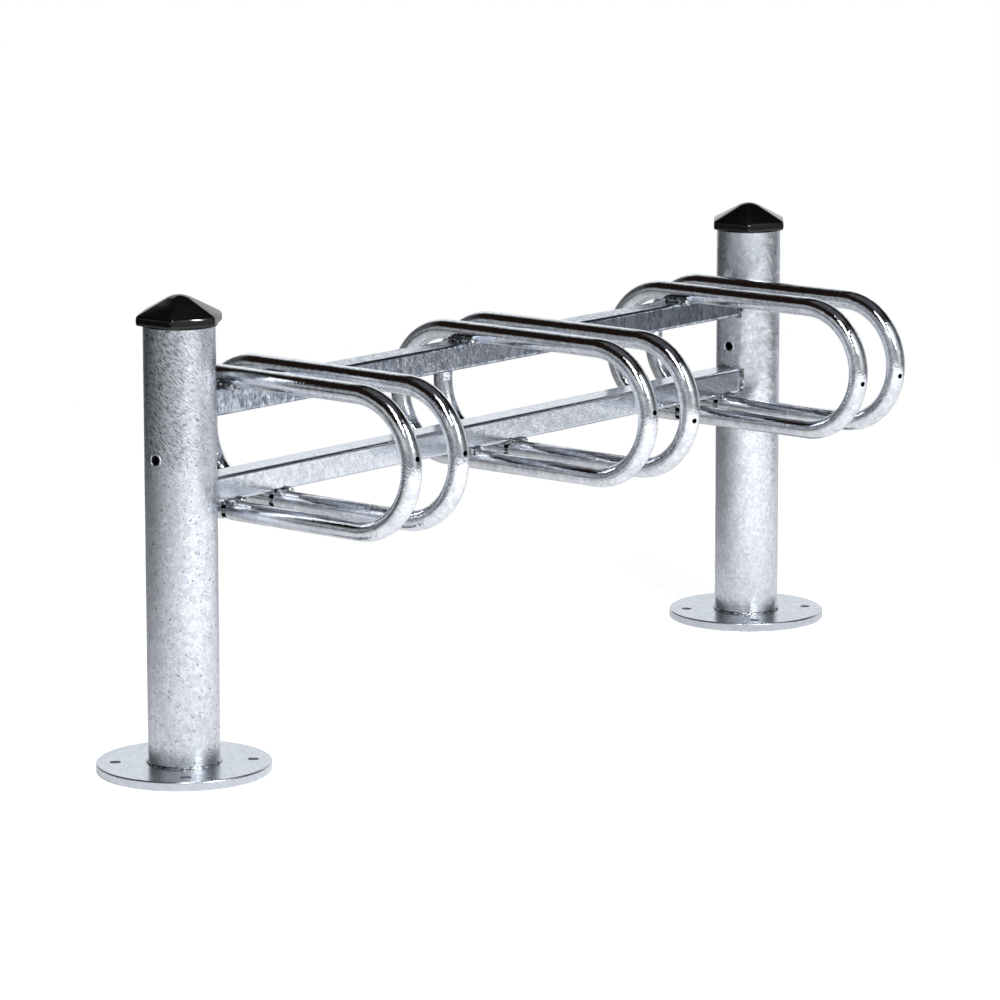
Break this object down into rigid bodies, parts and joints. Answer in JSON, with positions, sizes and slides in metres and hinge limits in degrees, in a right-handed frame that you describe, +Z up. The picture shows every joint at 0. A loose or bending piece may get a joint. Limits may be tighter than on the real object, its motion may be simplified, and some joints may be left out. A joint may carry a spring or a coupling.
{
  "type": "bicycle rack",
  "caption": "Floor-standing bicycle rack: round posts on bolted flanges, horizontal rails between them and paired closed tube hoops that hold front wheels.",
  "frame": {"origin": "on the ground, at the axis of the left post: the centre of the underside of its base plate", "axes": "+X along the rails from the left post to the right post, +Z up, and the hoops reach furthest towards -Y, the side that bicycles are pushed in from"},
  "size_m": [1.388, 0.448, 0.6009],
  "materials": {
    "plate_zinc": "satin",
    "post_zinc": "satin",
    "rail_zinc": "satin",
    "hoop_zinc": "satin",
    "weld_zinc": "satin",
    "cap_plastic": "gloss"
  },
  "bodies": {
    "root": {"base_plate_left": "plate_zinc", "base_plate_right": "plate_zinc", "post_left": "post_zinc", "post_right": "post_zinc", "upper_rail": "rail_zinc", "lower_rail": "rail_zinc", "hoop_1_left": "hoop_zinc", "hoop_1_right": "hoop_zinc", "hoop_2_left": "hoop_zinc", "hoop_2_right": "hoop_zinc", "hoop_3_left": "hoop_zinc", "hoop_3_right": "hoop_zinc", "base_weld_left": "weld_zinc", "base_weld_right": "weld_zinc", "rail_weld_upper_left": "weld_zinc", "rail_weld_upper_right": "weld_zinc", "rail_weld_lower_left": "weld_zinc", "rail_weld_lower_right": "weld_zinc", "hoop_weld_upper_1": "weld_zinc", "hoop_weld_upper_2": "weld_zinc", "hoop_weld_upper_3": "weld_zinc", "hoop_weld_lower_1": "weld_zinc", "hoop_weld_lower_2": "weld_zinc", "hoop_weld_lower_3": "weld_zinc", "seam_weld_1": "weld_zinc", "seam_weld_2": "weld_zinc", "seam_weld_3": "weld_zinc", "cap_left": "cap_plastic", "cap_right": "cap_plastic"}
  },
  "joints": []
}
